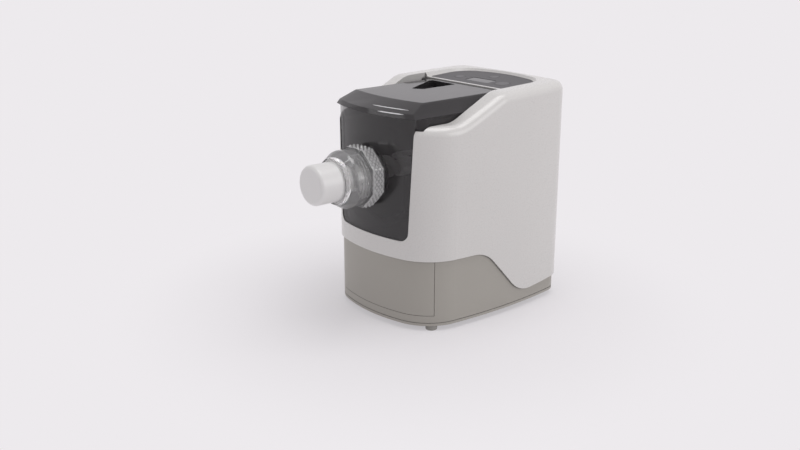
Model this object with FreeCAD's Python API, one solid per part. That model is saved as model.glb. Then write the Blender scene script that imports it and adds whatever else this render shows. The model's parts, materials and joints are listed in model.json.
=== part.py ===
import FreeCAD, Part
import math
import os
from FreeCAD import Vector

os.makedirs("parts", exist_ok=True)

# Electric pasta maker, in millimetres.
# +Z is up, the extrusion nozzle points to -Y and the control panel is at the back, on top.
# The origin is under the middle of the whole machine, nozzle included, where the feet stand.

# Driving dimensions of the body
body_width = 216.0
body_depth = 266.0
nozzle_reach = 87.6
body_top_z = 296.8
slope_top_z = 293.8
shoulder_z = 262.0
band_z = 93.5
front_bow_radius = 220.0
side_bow_radius = 716.0
back_bow_radius = 900.0
front_corner_radius = 61.4
rear_corner_radius = 26.0
side_bow_centre = 151.4
shell_wall = 2.4
shell_edge_radius = 12.0
shoulder_bend = 40.0

# Places measured backwards from the front of the body
drawer_wrap = 34.4
slope_top_start = 67.4
slope_top_end = 134.0
skirt_slope_start = 107.4
skirt_slope_end = 171.4
chamber_length = 152.4
bay_depth = 169.9
foot_front = 37.0
frame_screw_place = 44.0

# Lower housing
base_inset = 2.8
base_wall = 2.5
base_bottom_z = 7.0
base_tongue = 6.0
base_bend_radius = 45.0
skirt_low_z = 24.0
skirt_back_z = 29.9
rim_groove_height = 3.5
rim_groove_width = 0.8
rim_groove_depth = 0.6
foot_radius = 7.5
foot_height = 7.0
foot_plug_radius = 2.0
foot_edge = 1.2
foot_front_inset = 26.5
foot_rear_inset = 28.0
foot_rear_gap = 28.0
plate_thick = 3.0
plate_gap = 0.3
plate_slots = 5
plate_slot_gap = 34.0
plate_slot_pitch = 9.0
plate_slot_length = 60.0
plate_slot_width = 3.0
screw_radius = 1.7
screw_head_radius = 3.4
screw_head_height = 1.5
screw_bite = 7.0
screw_gap = 0.15
boss_radius = 4.0
boss_height = 12.0
boss_web = 3.0
rear_screw_inset = 20.0
rear_screw_gap = 60.0

# Storage drawer and the inner frame round it
drawer_bottom_z = 20.9
drawer_gap = 0.5
drawer_floor_gap = 0.4
drawer_side_gap = 3.5
drawer_rear_gap = 9.5
drawer_box_top_z = 88.0
drawer_wall = 2.0
frame_side_space = 18.7
frame_wall = 2.5
frame_front = 9.0
frame_front_gap = 1.7
frame_rise = 3.5
frame_step = 4.4
frame_screw_inset = 14.0
runner_height = 6.0
runner_rise = 20.0
runner_gap = 0.4
runner_front = 32.0
runner_rear_gap = 6.0

# Mixing chamber and front panel
axis_z = 193.0
trough_radius = 66.4
trough_wall = 2.6
chamber_top_z = 271.2
chamber_half_width = 78.5
chamber_waist_z = 240.0
chamber_flare_z = 254.0
chamber_bend = 10.0
chamber_corner_front = 16.5
chamber_corner_length = 12.5
bay_half_width = 80.0
bay_liner_drop = 37.0
seal_radius = 11.0
seal_length = 6.0
rear_boss_radius = 14.0
rear_boss_length = 4.0
window_bottom_z = 117.0
window_low_half = 65.5
window_high_half = 72.5
window_high_z = 256.0
window_radius = 12.0
window_cut_depth = 45.0
window_gap = 0.5
panel_recess = 1.0
front_panel_wall = 3.0
front_seat_gap = 0.3

# Cradle under the trough
cradle_front = 28.0
cradle_rear_gap = 26.4
cradle_rib = 5.0
cradle_margin = 6.0
cradle_drop = 20.0
cradle_spine_half = 12.0
cradle_spine_height = 6.0

# Lid
lid_top_z = 288.0
lid_seat_gap = 0.4
lid_wall = 2.6
lid_side_gap = 0.6
lid_rear_gap = 2.5
lid_top_half_width = 65.0
lid_top_front = 31.4
lid_top_bow = 8.0
lid_lip_height = 6.0
lid_lip_lean = 1.0
lid_front_reach = 2.1
lid_corner_front = 12.5
lid_corner_inset = 2.9
lid_edge_radius = 2.5
hinge_z = 284.5
hinge_inset = 1.8
hinge_radius = 3.2
hinge_pin_radius = 1.6
hinge_pin_reach = 11.4
hinge_pin_head = 3.0
hinge_head_thick = 1.5
knuckle_length = 19.2
knuckle_end_gap = 0.2

# Water inlet in the lid
inlet_left = -58.0
inlet_right = -9.0
inlet_slant_x = -22.0
inlet_length = 67.6
inlet_step = 10.0
inlet_rear_gap = 7.4
inlet_corner = 4.0
inlet_depth = 9.0
slot_left = -34.0
slot_right = -16.0
slot_length = 14.0
slot_rear_gap = 10.0
slot_corner = 3.0

# Extrusion end
barrel_bore = 21.5
barrel_radius = 26.2
barrel_flange = 5.0
barrel_flange_thick = 3.0
thread_pitch = 5.0
thread_height = 2.2
thread_root = 1.7
thread_crest = 0.9
thread_embed = 0.4
thread_clearance = 0.5
thread_start = 11.0
barrel_turns = 4
nut_turns = 3
nut_gap = 1.5
nut_length = 52.5
nut_radius = 36.5
nut_dome_length = 13.0
nut_front_radius = 28.8
nut_shoulder_radius = 9.0
nut_flat_radius = 36.0
nut_grip_length = 19.0
nut_grip_sides = 8
nut_grip_corner = 3.0
nut_lip = 6.0
seat_gap = 0.3
die_radius = 25.0
die_gap = 0.5
die_wall = 4.0
die_flange = 3.5
die_flange_gap = 0.6
nose_edge = 5.0
nose_wall = 6.0
nose_bore_edge = 4.0
gasket_thick = 1.7
barrel_end_gap = 0.2
outlet_radius = 1.3
outlet_rows = 7
outlet_row_pitch = 3.6
outlet_start = 9.0
outlet_columns = 5
outlet_column_pitch = 4.4
outlet_top = 8.0

# Mixing parts
mix_shaft_radius = 7.5
mix_shaft_tip = 3.0
coupling_inset = 8.0
socket_half = 4.0
socket_depth = 16.0
key_gap = 0.2
key_length = 15.0
auger_front_gap = 6.0
auger_radius = 19.5
auger_pitch = 21.0
auger_turns = 3.5
flight_root = 5.0
flight_crest = 3.0
auger_sleeve_wall = 2.0
paddle_front = 56.0
paddle_middle = 92.0
paddle_rear_gap = 18.4
paddle_reach = 55.0
paddle_bar_radius = 4.0
paddle_hub_wall = 3.0
paddle_hub_half = 7.0
paddle_overhang = 6.0

# Drive
output_teeth = 56
output_module = 2.0
idler_pinion_teeth = 14
idler_teeth = 42
motor_pinion_teeth = 14
motor_module = 1.25
output_gear_width = 9.0
idler_gear_width = 7.0
gear_step = 2.0
gear_front_gap = 1.6
gear_boss_gap = 0.4
tooth_backlash = 0.22
gear_windows = 6
gear_window_radius = 11.0
gear_window_place = 33.0
drive_shaft_radius = 6.0
idler_pin_radius = 3.0
motor_shaft_radius = 2.5
shaft_clearance = 0.05
bearing_radius = 9.0
idler_boss_radius = 6.0
pin_seat = 1.8
gearbox_gap = 3.0
gearbox_wall = 3.0
gearbox_top_radius = 65.0
gearbox_low_radius = 36.0
gearbox_low_drop = 87.0
case_screw_radius = 1.35
case_screw_gap = 0.35
case_screw_head = 2.9
case_screw_bite = 8.0
case_screw_inset = 2.8
case_boss_radius = 3.2
case_high_angle = 36.9
case_low_angle = 6.9

# Motor
motor_radius = 33.0
motor_length = 56.0
motor_wall = 2.0
motor_cap_thick = 3.0
motor_bearing_radius = 8.0
motor_vents = 6
motor_vent_radius = 3.5
cap_vent_radius = 5.0
motor_vent_place = 20.0
stator_thick = 11.0
stator_start = 12.0
stator_length = 32.0
stator_slots = 8
stator_slot_radius = 2.6
rotor_gap = 5.0
rotor_start = 14.0
rotor_length = 28.0
rotor_slots = 10
rotor_slot_radius = 1.8
rotor_slot_inset = 0.8
fan_start = 46.0
fan_length = 8.0
fan_hub_radius = 7.0
fan_blades = 8
fan_blade_thick = 1.2
fan_gap = 3.0

# Bracket that carries the gearbox and the motor
bracket_half_width = 34.0
bracket_thick = 3.0
bracket_setback = 1.0
bracket_gap = 0.2
saddle_half_width = 30.0
saddle_side = 4.0
saddle_wall = 3.0
saddle_drop = 20.0
rear_saddle_gap = 6.0
rear_saddle_width = 10.0
rear_saddle_drop = 14.0
rear_window_half = 20.0
rear_window_low = 14.0
rear_window_height = 16.0

# Controls
panel_setback = 4.0
panel_side_depth = 61.0
panel_depth = 78.0
panel_half_width = 74.0
panel_front_z = 289.5
panel_slope = 0.055
panel_front_corner = 4.0
panel_corner_radius = 35.0
panel_back_radius = 160.0
panel_thick = 3.0
panel_edge = 0.5
panel_gap = 0.25
panel_ledge = 4.0
ledge_thick = 2.5
ledge_width = 14.0
pocket_gap = 1.5
pocket_flare = 10.0
pocket_height = 14.0
button_travel = 0.8
button_gap = 0.35
button_rise = 0.3
button_edge = 0.8
button_flange = 1.2
button_flange_thick = 1.5
button_drop = 3.0
start_button_radius = 10.0
small_button_radius = 7.0
button_side = 40.0
button_row = 24.0
time_button_row = 50.0
lens_half_width = 21.0
lens_half_depth = 9.0
lens_corner = 2.0
lens_gap = 0.1
lens_sink = 0.3
pad_share_radius = 4.0
pad_gap = 0.1
post_radius = 2.5
front_post_side = 58.0
front_post_row = 14.0
rear_post_side = 28.0
rear_post_row = 54.0

# Boards, switch, cord gland and air vents
board_thick = 1.6
board_drop = 7.0
board_half_width = 62.0
board_front = 7.0
board_length = 53.0
chip_half_width = 8.0
chip_row = 32.0
chip_length = 12.0
chip_height = 2.0
plug_side = 26.0
plug_width = 18.0
plug_length = 8.0
plug_height = 7.0
screen_inset = 2.0
board_screw_radius = 2.4
board_screw_height = 1.6
power_board_side_gap = 24.0
power_board_bracket_gap = 2.0
power_board_front_gap = 20.0
power_board_length = 58.0
power_board_rise = 6.0
capacitor_radius = 7.0
capacitor_height = 24.0
capacitor_inset = 10.0
transformer_width = 22.0
transformer_height = 20.0
relay_width = 14.0
relay_height = 8.0
heat_sink_width = 16.0
heat_sink_height = 22.0
board_post_inset = 4.0
switch_place = 140.0
switch_length = 20.0
switch_thick = 8.0
switch_height = 10.0
switch_plunger_radius = 1.5
switch_plunger_reach = 3.0
gland_bore = 3.7
gland_radius = 7.0
gland_gap = 0.1
gland_length = 14.0
gland_collar = 2.5
gland_collar_length = 8.0
gland_sink = 0.6
gland_x = -60.0
gland_z = 20.0
vent_slots = 7
vent_slot_width = 62.0
vent_slot_height = 3.2
vent_pitch = 7.5
vent_low_z = 62.0

# Places that follow from the driving dimensions
front_y = (body_depth + nozzle_reach) / 2 - body_depth
back_y = front_y + body_depth
half_width = body_width / 2
frame_half_width = half_width - base_inset - base_wall - frame_side_space
drawer_half_width = frame_half_width - frame_wall - drawer_side_gap
frame_length = chamber_length - frame_step
drawer_length = frame_length - frame_wall - drawer_rear_gap
frame_top_z = band_z + frame_rise
floor_z = base_bottom_z + plate_thick
lid_depth = bay_depth - lid_rear_gap
lid_half_width = bay_half_width - lid_side_gap
lid_low_z = chamber_top_z + lid_seat_gap
hinge_back = lid_depth - hinge_inset
inlet_rear = lid_depth - inlet_rear_gap
inlet_front = inlet_rear - inlet_length
inlet_floor_z = lid_top_z - inlet_depth
panel_front = bay_depth + panel_setback
panel_under_z = panel_front_z - panel_thick
gear_plane = chamber_length + gearbox_gap + gearbox_wall + gear_front_gap
idler_z = axis_z - (output_teeth + idler_pinion_teeth) * output_module / 2
motor_z = idler_z - (idler_teeth + motor_pinion_teeth) * motor_module / 2
gearbox_low_z = axis_z - gearbox_low_drop
FAR = 2 * body_depth
PAST = 5.0


def behind(distance):
    return front_y + distance


def box(x0, x1, y0, y1, z0, z1):
    return Part.makeBox(x1 - x0, y1 - y0, z1 - z0, Vector(x0, y0, z0))


def rod_x(radius, x0, x1, y, z):
    return Part.makeCylinder(radius, x1 - x0, Vector(x0, y, z), Vector(1, 0, 0))


def rod_y(radius, y0, y1, x, z):
    return Part.makeCylinder(radius, y1 - y0, Vector(x, y0, z), Vector(0, 1, 0))


def rod_z(radius, z0, z1, x, y):
    return Part.makeCylinder(radius, z1 - z0, Vector(x, y, z0), Vector(0, 0, 1))


def ring_y(outer, inner, y0, y1, x, z):
    return rod_y(outer, y0, y1, x, z).cut(rod_y(inner, y0 - 1, y1 + 1, x, z))


def join(shapes):
    whole = shapes[0]
    for shape in shapes[1:]:
        whole = whole.fuse(shape)
    return whole.removeSplitter()


def mirror_x(shape):
    return shape.mirror(Vector(0, 0, 0), Vector(1, 0, 0))


def save(name, shape):
    shape.exportStep("parts/" + name + ".step")


# Outlines: corners are (u, v, radius) and place turns a (u, v) into a point in space
def rounded_wire(corners, place):
    spans = []
    for index, (u, v, radius) in enumerate(corners):
        here = Vector(u, v, 0)
        before = Vector(corners[index - 1][0], corners[index - 1][1], 0)
        after = Vector(corners[(index + 1) % len(corners)][0], corners[(index + 1) % len(corners)][1], 0)
        if radius == 0:
            spans.append((here, None, here))
            continue
        back = (before - here).normalize()
        ahead = (after - here).normalize()
        half_angle = back.getAngle(ahead) / 2
        reach = radius / math.tan(half_angle)
        middle = (back + ahead).normalize() * (radius / math.sin(half_angle) - radius)
        spans.append((here + back * reach, here + middle, here + ahead * reach))
    edges = []
    for index, (start, middle, end) in enumerate(spans):
        if middle is not None:
            edges.append(Part.Arc(place(start), place(middle), place(end)).toShape())
        following = spans[(index + 1) % len(spans)][0]
        if end.distanceToPoint(following) > 0.001:
            edges.append(Part.LineSegment(place(end), place(following)).toShape())
    return Part.Wire(edges)


def prism_x(corners, x0, x1):
    wire = rounded_wire(corners, lambda p: Vector(x0, p.x, p.y))
    return Part.Face(wire).extrude(Vector(x1 - x0, 0, 0))


def prism_y(corners, y0, y1):
    wire = rounded_wire(corners, lambda p: Vector(p.x, y0, p.y))
    return Part.Face(wire).extrude(Vector(0, y1 - y0, 0))


def prism_z(corners, z0, z1):
    wire = rounded_wire(corners, lambda p: Vector(p.x, p.y, z0))
    return Part.Face(wire).extrude(Vector(0, 0, z1 - z0))


# Body plan: bowed front, sides and back with four tangent corner arcs
def tangent_centre(first, first_reach, second, second_reach, forward):
    gap = second - first
    span = gap.Length
    along = (first_reach ** 2 - second_reach ** 2 + span ** 2) / (2 * span)
    off = math.sqrt(first_reach ** 2 - along ** 2)
    middle = first + gap * (along / span)
    normal = Vector(-gap.y, gap.x, 0) * (off / span)
    options = [middle + normal, middle - normal]
    options.sort(key=lambda point: point.y)
    return options[0] if forward else options[1]


front_centre = Vector(0, front_y + front_bow_radius, 0)
side_centre = Vector(half_width - side_bow_radius, behind(side_bow_centre), 0)
back_centre = Vector(0, back_y - back_bow_radius, 0)
front_corner = tangent_centre(front_centre, front_bow_radius - front_corner_radius,
                              side_centre, side_bow_radius - front_corner_radius, True)
rear_corner = tangent_centre(back_centre, back_bow_radius - rear_corner_radius,
                             side_centre, side_bow_radius - rear_corner_radius, False)


def toward(centre, through, distance):
    return centre + (through - centre).normalize() * distance


def plan_prism(inset, z0, z1):
    front_end = toward(front_centre, front_corner, front_bow_radius - inset)
    side_start = toward(side_centre, front_corner, side_bow_radius - inset)
    side_middle = side_centre + Vector(side_bow_radius - inset, 0, 0)
    side_end = toward(side_centre, rear_corner, side_bow_radius - inset)
    back_start = toward(back_centre, rear_corner, back_bow_radius - inset)
    front_turn = toward(front_corner, (front_end + side_start) * 0.5, front_corner_radius - inset)
    rear_turn = toward(rear_corner, (side_end + back_start) * 0.5, rear_corner_radius - inset)
    right = [front_end, front_turn, side_start, side_middle, side_end, rear_turn, back_start]
    left = [Vector(-point.x, point.y, 0) for point in reversed(right)]
    apex = Vector(0, front_y + inset, 0)
    tail = Vector(0, back_y - inset, 0)
    round_trip = [apex] + right + [tail] + left + [apex]
    lift = Vector(0, 0, z0)
    edges = [Part.Arc(left[-1] + lift, apex + lift, front_end + lift).toShape()]
    for index in (1, 3, 5, 7, 9, 11, 13):
        trio = [point + lift for point in round_trip[index:index + 3]]
        edges.append(Part.Arc(trio[0], trio[1], trio[2]).toShape())
    return Part.Face(Part.Wire(edges)).extrude(Vector(0, 0, z1 - z0))


# Side view of the line where the shell meets the lower housing
def skirt_corners(lift):
    rise = (skirt_back_z - skirt_low_z) / (body_depth - skirt_slope_end)
    return [(front_y - FAR, band_z + lift, 0),
            (behind(skirt_slope_start), band_z + lift, base_bend_radius),
            (behind(skirt_slope_end), skirt_low_z + lift, base_bend_radius),
            (back_y + FAR, skirt_back_z + lift + FAR * rise, 0)]


# Side view of the top of the shell: low front shoulder, slope, high back that still rises a little
def shoulder_corners(drop):
    rise = (body_top_z - slope_top_z) / (body_depth - slope_top_end)
    return [(back_y + FAR, body_top_z - drop + FAR * rise, 0),
            (behind(slope_top_end), slope_top_z - drop, shoulder_bend),
            (behind(slope_top_start), shoulder_z - drop, shoulder_bend),
            (front_y - FAR, shoulder_z - drop, 0)]


def top_edges(shape, low_z):
    chosen = []
    for edge in shape.Edges:
        middle = edge.valueAt((edge.FirstParameter + edge.LastParameter) / 2)
        across = abs(edge.Vertexes[0].Point.x + edge.Vertexes[-1].Point.x) < 0.01
        straight = edge.Curve.TypeId == "Part::GeomLine"
        if middle.z > low_z and not (straight and across):
            chosen.append(edge)
    return chosen


def shell_block(inset, drop, lift, edge_radius):
    side_view = skirt_corners(lift) + shoulder_corners(drop)
    block = plan_prism(inset, 0, FAR).common(prism_x(side_view, -half_width - PAST, half_width + PAST))
    return block.makeFillet(edge_radius, top_edges(block, shoulder_z - drop - 2))


def window_corners(gap):
    low = window_low_half - gap
    high = window_high_half - gap
    return [(-low, window_bottom_z + gap, window_radius), (low, window_bottom_z + gap, window_radius),
            (high, window_high_z, 0), (high, FAR, 0), (-high, FAR, 0), (-high, window_high_z, 0)]


# Control panel plate, drawn flat at the height of its front edge and then tilted up towards the back
def panel_corners(grow, front_grow):
    side = panel_half_width + grow
    start = behind(panel_front) - front_grow
    side_end = behind(panel_front + panel_side_depth) + grow
    tail = behind(panel_front + panel_depth) + grow
    return [(-side, start, panel_front_corner), (side, start, panel_front_corner),
            (side, side_end, panel_corner_radius + grow), (0, tail, panel_back_radius),
            (-side, side_end, panel_corner_radius + grow)]


def tilt(shape):
    shape.rotate(Vector(0, behind(panel_front), panel_front_z), Vector(1, 0, 0), math.degrees(math.atan(panel_slope)))
    return shape


def panel_block(grow, z0, z1):
    return tilt(prism_z(panel_corners(grow, grow), z0, z1))


# Dished recess round the panel, open towards the lid
def panel_pocket():
    front = panel_setback + 2 * PAST
    low = panel_corners(pocket_gap, front)
    high = panel_corners(pocket_gap + pocket_flare, front)
    wires = [rounded_wire(low, lambda p: Vector(p.x, p.y, panel_front_z)),
             rounded_wire(high, lambda p: Vector(p.x, p.y, panel_front_z + pocket_height))]
    return tilt(Part.makeLoft(wires, True, True))


# Outer shell
def make_body_shell():
    outer = shell_block(0, 0, 0, shell_edge_radius)
    inner = shell_block(shell_wall, shell_wall, -FAR / 4, shell_edge_radius - shell_wall)
    liner_low_z = shoulder_z - bay_liner_drop
    liner_half = bay_half_width + shell_wall
    liner = box(-liner_half, liner_half, front_y, behind(bay_depth) + shell_wall, liner_low_z, body_top_z)
    liner = liner.cut(box(-liner_half, liner_half, behind(bay_depth), back_y, 0, shoulder_z))
    ledge = panel_block(ledge_width, panel_under_z - ledge_thick, panel_front_z + shell_wall + ledge_thick)
    ledge = ledge.common(box(-half_width, half_width, behind(bay_depth), back_y, 0, FAR))
    shell = join([outer.cut(inner), liner.common(outer), ledge.common(outer)])
    bay = box(-bay_half_width, bay_half_width, front_y, behind(bay_depth), liner_low_z - 1, FAR)
    shell = shell.cut(bay.common(plan_prism(shell_wall, 0, FAR)))
    shell = shell.cut(prism_y(window_corners(0), front_y - PAST, behind(window_cut_depth)))
    shell = shell.cut(panel_pocket())
    shell = shell.cut(panel_block(panel_gap, panel_under_z, panel_front_z + PAST))
    shell = shell.cut(panel_block(-panel_ledge, panel_under_z - 2 * PAST, panel_front_z))
    for side in (-1, 1):
        ends = sorted((side * (bay_half_width - 1), side * (liner_half + 1)))
        shell = shell.cut(rod_x(hinge_pin_radius, ends[0], ends[1], behind(hinge_back), hinge_z))
    for index in range(vent_slots):
        low = vent_low_z + index * vent_pitch
        shell = shell.cut(box(-vent_slot_width / 2, vent_slot_width / 2, back_y - 2 * PAST, back_y + PAST,
                              low, low + vent_slot_height))
    return shell


# Lower housing, its floor, feet and screws
foot_places = [(side * (half_width - foot_front_inset), behind(foot_front)) for side in (-1, 1)]
foot_places += [(side * (half_width - foot_rear_inset), back_y - foot_rear_gap) for side in (-1, 1)]
frame_screws = [(side * (frame_half_width - frame_screw_inset), behind(frame_screw_place)) for side in (-1, 1)]
rear_screws = [(side * (half_width - rear_screw_inset), back_y - rear_screw_gap) for side in (-1, 1)]
screw_places = frame_screws + rear_screws


def base_block(inset, lift):
    side_view = skirt_corners(lift) + [(back_y + FAR, base_bottom_z, 0), (front_y - FAR, base_bottom_z, 0)]
    return plan_prism(inset, 0, body_top_z).common(prism_x(side_view, -half_width - PAST, half_width + PAST))


def drawer_zone(gap):
    return box(-half_width, half_width, front_y - PAST, behind(drawer_wrap) - gap,
               drawer_bottom_z - drawer_gap + gap, band_z - gap)


def make_base_shell():
    base = base_block(base_inset, base_tongue)
    base = base.cut(plan_prism(base_inset + base_wall, -PAST, FAR)).cut(drawer_zone(0))
    zone = plan_prism(base_inset + base_wall / 2, 0, FAR)
    for x, y in rear_screws:
        wall_x = math.copysign(half_width, x)
        web = box(min(x, wall_x), max(x, wall_x), y - boss_web / 2, y + boss_web / 2, floor_z, floor_z + boss_height)
        boss = rod_z(boss_radius, floor_z, floor_z + boss_height, x, y).fuse(web)
        base = base.fuse(boss.common(zone))
        base = base.cut(rod_z(screw_radius - screw_gap, floor_z - 1, floor_z + boss_height - base_wall, x, y))
    groove_z = base_bottom_z + rim_groove_height
    groove = plan_prism(0, groove_z, groove_z + rim_groove_width)
    base = base.cut(groove.cut(plan_prism(base_inset + rim_groove_depth, 0, FAR)))
    base = base.cut(rod_y(gland_radius, back_y - 4 * PAST, back_y + PAST, gland_x, gland_z))
    return base.removeSplitter()


def make_bottom_plate():
    plate = plan_prism(base_inset + base_wall + plate_gap, base_bottom_z, floor_z)
    for x, y in screw_places:
        plate = plate.cut(rod_z(screw_radius + screw_gap, 0, FAR, x, y))
        plate = plate.cut(rod_z(screw_head_radius + screw_gap, 0, base_bottom_z + seat_gap + screw_head_height, x, y))
    for index in range(plate_slots):
        y = back_y - plate_slot_gap - index * plate_slot_pitch
        plate = plate.cut(box(-plate_slot_length / 2, plate_slot_length / 2, y - plate_slot_width, y, 0, FAR))
    for x, y in foot_places:
        plate = plate.cut(rod_z(foot_plug_radius + screw_gap, 0, FAR, x, y))
    return plate


def make_feet():
    feet = []
    for x, y in foot_places:
        pad = rod_z(foot_radius, 0, foot_height, x, y)
        pad = pad.makeFillet(foot_edge, [edge for edge in pad.Edges if edge.BoundBox.ZMax < 0.1])
        feet.append(pad.fuse(rod_z(foot_plug_radius, foot_height, floor_z, x, y)).removeSplitter())
    return Part.makeCompound(feet)


def make_housing_screws():
    screws = []
    head_low = base_bottom_z + seat_gap
    head_top = head_low + screw_head_height
    for x, y in screw_places:
        head = rod_z(screw_head_radius, head_low, head_top, x, y)
        slot = box(x - screw_radius / 3, x + screw_radius / 3, y - screw_head_radius, y + screw_head_radius,
                   0, head_low + screw_head_height / 2)
        shank = rod_z(screw_radius - screw_gap, head_top, floor_z + screw_bite, x, y)
        screws.append(head.cut(slot).fuse(shank).removeSplitter())
    return Part.makeCompound(screws)


# Inner frame that carries the chamber and holds the drawer
def make_drawer_frame():
    rear = behind(frame_length)
    side = frame_half_width - frame_wall
    deck_z = drawer_bottom_z - frame_wall
    block = box(-frame_half_width, frame_half_width, behind(frame_front), rear, floor_z, frame_top_z)
    bay = box(-side, side, front_y - PAST, rear - frame_wall, drawer_bottom_z, frame_top_z - frame_wall)
    under = box(-side, side, front_y - PAST, rear - frame_wall, floor_z - 1, deck_z)
    frame = block.cut(bay).cut(under).common(plan_prism(base_inset + base_wall + frame_front_gap, 0, FAR))
    for x, y in frame_screws:
        frame = frame.fuse(rod_z(boss_radius, floor_z, deck_z + frame_wall / 2, x, y))
        frame = frame.cut(rod_z(screw_radius - screw_gap, floor_z - 1, deck_z - 2 * screw_gap, x, y))
    return frame.removeSplitter()


def make_drawer_runners():
    low = drawer_bottom_z + runner_rise
    rail = box(drawer_half_width + runner_gap, frame_half_width - frame_wall, behind(runner_front),
               behind(frame_length - runner_rear_gap), low, low + runner_height)
    return Part.makeCompound([rail, mirror_x(rail)])


def make_drawer_front():
    wall = plan_prism(base_inset, 0, FAR).cut(plan_prism(base_inset + base_wall, -1, FAR + 1))
    return wall.common(drawer_zone(drawer_gap))


def make_drawer_box():
    low = drawer_bottom_z + drawer_floor_gap
    side = drawer_half_width - drawer_wall
    block = box(-drawer_half_width, drawer_half_width, front_y, behind(drawer_length), low, drawer_box_top_z)
    block = block.common(plan_prism(base_inset + base_wall, 0, FAR))
    hollow = box(-side, side, front_y, behind(drawer_length) - drawer_wall, low + drawer_wall, FAR)
    return block.cut(hollow.common(plan_prism(base_inset + base_wall + drawer_wall, 0, FAR + PAST)))


# Ribs that hold the round underside of the trough
def make_chamber_cradle():
    outer = trough_radius + trough_wall + seat_gap
    wide = outer + cradle_margin
    start = behind(cradle_front)
    end = behind(chamber_length - cradle_rear_gap)
    ribs = [box(-wide, wide, y, y + cradle_rib, frame_top_z, axis_z - cradle_drop) for y in (start, end)]
    spine = box(-cradle_spine_half, cradle_spine_half, start, end + cradle_rib, frame_top_z,
                frame_top_z + cradle_spine_height)
    return join(ribs + [spine]).cut(rod_y(outer, front_y, behind(chamber_length), 0, axis_z))


# Smoke tinted mixing chamber
def trough_corners(inset, top):
    low = trough_radius + trough_wall - inset
    high = chamber_half_width - inset
    return [(-high, top, 0), (-high, chamber_flare_z, chamber_bend), (-low, chamber_waist_z, chamber_bend),
            (-low, axis_z - low, low), (low, axis_z - low, low), (low, chamber_waist_z, chamber_bend),
            (high, chamber_flare_z, chamber_bend), (high, top, 0)]


def make_mixing_chamber():
    inside_panel = panel_recess + front_panel_wall + front_seat_gap
    rear = behind(chamber_length)
    tub = prism_y(trough_corners(0, chamber_top_z), front_y, rear)
    tub = tub.cut(prism_y(trough_corners(trough_wall, chamber_top_z + PAST), front_y - PAST, rear - trough_wall))
    tub = tub.common(plan_prism(inside_panel, 0, FAR))
    corner_start = behind(chamber_corner_front)
    corner_end = corner_start + chamber_corner_length
    inner_x = window_high_half - window_gap
    outer_x = chamber_half_width + 1
    lean = math.hypot(outer_x - inner_x, chamber_corner_length)
    wall_x = trough_wall * chamber_corner_length / lean
    wall_y = trough_wall * (outer_x - inner_x) / lean
    corner = prism_z([(inner_x, corner_start, 0), (outer_x, corner_end, 0), (outer_x, corner_end + wall_y, 0),
                      (outer_x - wall_x, corner_end + wall_y, 0), (inner_x - wall_x, corner_start + wall_y, 0)], 0, FAR)
    corner = corner.common(prism_y(trough_corners(0, chamber_top_z), front_y, rear))
    corner = corner.common(plan_prism(inside_panel, 0, FAR))
    notch = prism_z([(inner_x, front_y - PAST, 0), (inner_x, corner_start, 0), (outer_x, corner_end, 0),
                     (FAR, corner_end, 0), (FAR, front_y - PAST, 0)], 0, FAR)
    tub = join([tub.cut(notch).cut(mirror_x(notch)), corner, mirror_x(corner)])
    boss = rod_y(rear_boss_radius, rear - trough_wall - rear_boss_length, rear, 0, axis_z)
    return tub.fuse(boss).cut(rod_y(seal_radius, rear - 4 * PAST, rear + PAST, 0, axis_z)).removeSplitter()


def make_front_panel():
    wall = plan_prism(panel_recess, 0, FAR).cut(plan_prism(panel_recess + front_panel_wall, -1, FAR + 1))
    wall = wall.common(box(-half_width, half_width, front_y - PAST, behind(window_cut_depth), 0, chamber_top_z))
    panel = wall.common(prism_y(window_corners(window_gap), front_y - PAST, behind(window_cut_depth)))
    return panel.cut(rod_y(barrel_radius + seat_gap, front_y - PAST, behind(4 * PAST), 0, axis_z))


# Lid: flat top, sloping skirts and a bowed lip at the front
def lid_wire(half, front_half, rear, side_front, middle_front, z):
    points = [Vector(-half, rear, z), Vector(half, rear, z), Vector(front_half, side_front, z),
              Vector(-front_half, side_front, z)]
    edges = [Part.LineSegment(points[0], points[1]).toShape(), Part.LineSegment(points[1], points[2]).toShape(),
             Part.Arc(points[2], Vector(0, middle_front, z), points[3]).toShape(),
             Part.LineSegment(points[3], points[0]).toShape()]
    return Part.Wire(edges)


def lid_block(inset):
    low_z = lid_low_z - (inset if inset else 0)
    mid_z = lid_low_z + lid_lip_height
    top_z = lid_top_z - inset
    rear = behind(lid_depth) - inset
    side_front = behind(lid_corner_front) + inset
    tip = front_y - lid_front_reach + inset
    top_front = behind(lid_top_front) + inset
    half = lid_half_width - inset
    front_half = half - lid_corner_inset
    step = (lid_half_width - lid_top_half_width) * lid_lip_height / (lid_top_z - lid_low_z)
    top_half = lid_top_half_width - inset * 0.6
    wires = [lid_wire(half, front_half, rear, side_front, tip, low_z),
             lid_wire(half - step, front_half - step, rear, side_front + lid_lip_lean, tip + 1.5 * lid_lip_lean, mid_z),
             lid_wire(top_half, top_half, rear, top_front + lid_top_bow / 2, top_front - lid_top_bow / 2, top_z)]
    return Part.makeLoft(wires, True, True)


def inlet_corners(grow):
    radius = inlet_corner + grow
    return [(inlet_left - grow, behind(inlet_rear) + grow, radius),
            (inlet_slant_x - grow, behind(inlet_front) - grow, radius),
            (inlet_right + grow, behind(inlet_front) + inlet_step - grow, radius),
            (inlet_right + grow, behind(inlet_rear) + grow, radius)]


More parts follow.
